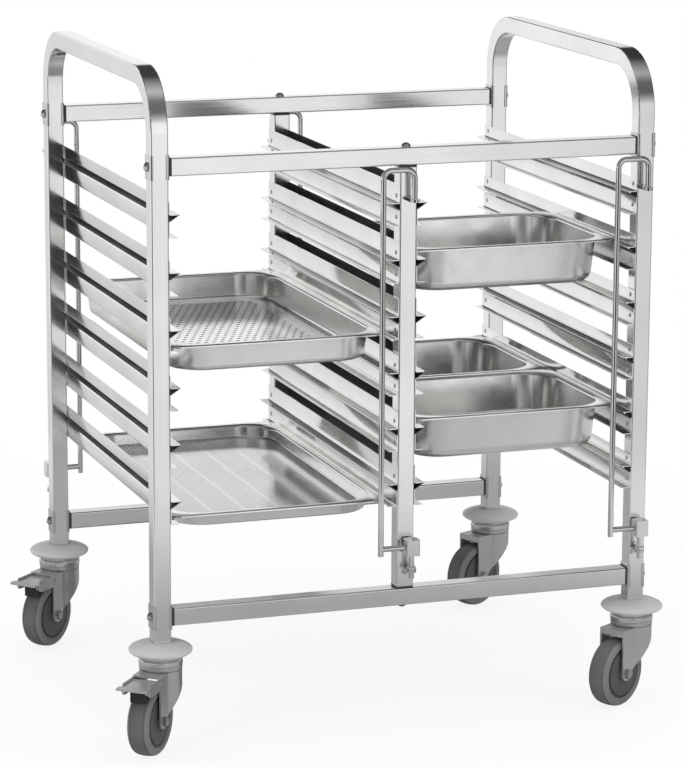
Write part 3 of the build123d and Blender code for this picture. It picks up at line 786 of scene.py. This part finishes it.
def runner_column(name, side, flange):
    node = name + "_runners"
    low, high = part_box(node)
    column = runner_strip(high[1] - low[1], flange)
    fold_runner(column, flange == POST_FLANGE)
    stack(column, side, low, high)
    finishes = [runner_sheet, fold_shadow, painted_shade_runner_back]
    place_piece(node + "_folded", column, finishes, "frame", node)


for name, side, flange in COLUMNS:
    runner_column(name, side, flange)

# %% [markdown]
# Two rivets hold each runner end to its tube, one in the flange and one in the web. A rivet head is a short
# disc whose upper edge is rounded, and the whole column of rivets is an array again.

# %% Rivets
RIVET_RADIUS, RIVET_PROUD, RIVET_ROUND = 3.2 * MM, 1.0 * MM, 0.7 * MM
RIVET_STEPS = 12
RIVET_HEIGHTS = (9.0 * MM, -21.0 * MM)
RIVET_END_GAP = 12.5 * MM


def add_rivet(shape, place):
    head = bmesh.ops.create_cone(
        shape, cap_ends=True, segments=RIVET_STEPS, radius1=RIVET_RADIUS, radius2=RIVET_RADIUS,
        depth=RIVET_PROUD)["verts"]
    rim = {edge for vert in head for edge in vert.link_edges if all(v.co.z > 0 for v in edge.verts)}
    added = bmesh.ops.bevel(
        shape, geom=list(rim), offset=RIVET_ROUND, affect="EDGES", segments=2, profile=0.5,
        material=-1)["verts"]
    verts = list({vert for vert in head if vert.is_valid} | set(added))
    turn = Matrix.Rotation(math.radians(90), 4, "Y")
    lift = Matrix.Translation((RUNNER_SHEET + RIVET_PROUD / 2, 0, 0))
    bmesh.ops.transform(shape, matrix=Matrix.Translation(place) @ lift @ turn, verts=verts)


def rivet_column(name, side):
    low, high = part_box(name + "_runners")
    reach = (high[1] - low[1]) / 2 - RIVET_END_GAP
    column = bmesh.new()
    for end in (-reach, reach):
        for height in RIVET_HEIGHTS:
            add_rivet(column, (0, end, height))
    stack(column, side, low, high)
    place_piece(name + "_rivets", column, [rivet_steel], "frame")


for name, side, _ in COLUMNS:
    rivet_column(name, side)

# %% [markdown]
# ## Wheels
#
# Tyre and hub are turned parts, so each is a section spun once about the axle. The section is drawn for one
# side and mirrored: each point is a distance along the axle and a radius, in millimetres. The tread has a
# groove near each edge, the sloping shoulders are the paler rubber of the sides, and a dark groove parts the
# flat hub from its rim.

# %% Wheels
TYRE_SIDE = [
    (0.0, 50.0), (4.0, 49.85), (8.0, 49.4), (9.4, 49.1), (9.7, 48.4), (10.5, 48.3), (10.8, 48.7),
    (11.8, 48.3), (13.4, 47.2), (14.8, 45.6), (15.7, 43.9), (16.0, 42.4), (16.0, 41.9), (15.5, 41.6),
    (15.5, 40.9), (16.0, 40.6), (16.0, 39.2), (14.0, 37.1), (0.0, 37.1)]
HUB_SIDE = [
    (0.0, 37.0), (13.8, 37.0), (14.0, 36.8), (14.0, 35.7), (13.8, 35.5), (12.5, 35.5), (12.5, 33.5),
    (14.4, 33.5), (15.0, 32.9), (15.0, 15.4), (14.5, 15.0), (14.5, 14.0), (15.0, 13.6), (15.0, 10.4),
    (15.4, 10.0), (16.6, 10.0), (17.0, 9.6), (17.0, 4.1), (0.0, 4.1)]
TREAD_HALF = 11.9 * MM
TYRE_WALL = 1
WHEEL_STEPS = 72
joints = {joint["name"]: joint for joint in frame["record"]["behaviour"]["joints"]}


def turned(side_line):
    shape = bmesh.new()
    chain(shape, [(along * MM, 0, out * MM) for along, out in side_line])
    bmesh.ops.spin(
        shape, geom=shape.verts[:] + shape.edges[:], cent=(0, 0, 0), axis=(1, 0, 0), angle=math.tau,
        steps=WHEEL_STEPS, use_merge=True)
    bmesh.ops.mirror(shape, geom=everything(shape), axis="X", merge_dist=WELD)
    bmesh.ops.remove_doubles(shape, verts=shape.verts, dist=WELD)
    return shape


def on_axle(shape, place):
    joint = joints[place + "_wheel_spin"]
    heading = math.atan2(joint["axis"][1], joint["axis"][0])
    move = Matrix.Translation(joint["pos_m"]) @ Matrix.Rotation(heading, 4, "Z")
    bmesh.ops.transform(shape, matrix=move, verts=shape.verts)


def make_wheel(place):
    body = place + "_wheel"
    tyre = turned(TYRE_SIDE)
    for face in tyre.faces:
        if abs(face.calc_center_median().x) > TREAD_HALF:
            face.material_index = TYRE_WALL
    on_axle(tyre, place)
    place_piece(place + "_tyre_turned", tyre, [tread_rubber, tyre_rubber], body, place + "_tyre")
    hub = turned(HUB_SIDE)
    on_axle(hub, place)
    place_piece(place + "_hub_turned", hub, [hub_plastic], body, place + "_hub")


for place in ("front_left", "front_right", "rear_left", "rear_right"):
    make_wheel(place)

# %% [markdown]
# ## The end
#
# The dressed trolley has to keep the size of its solids.

# %% The end
print("trolley dressed")
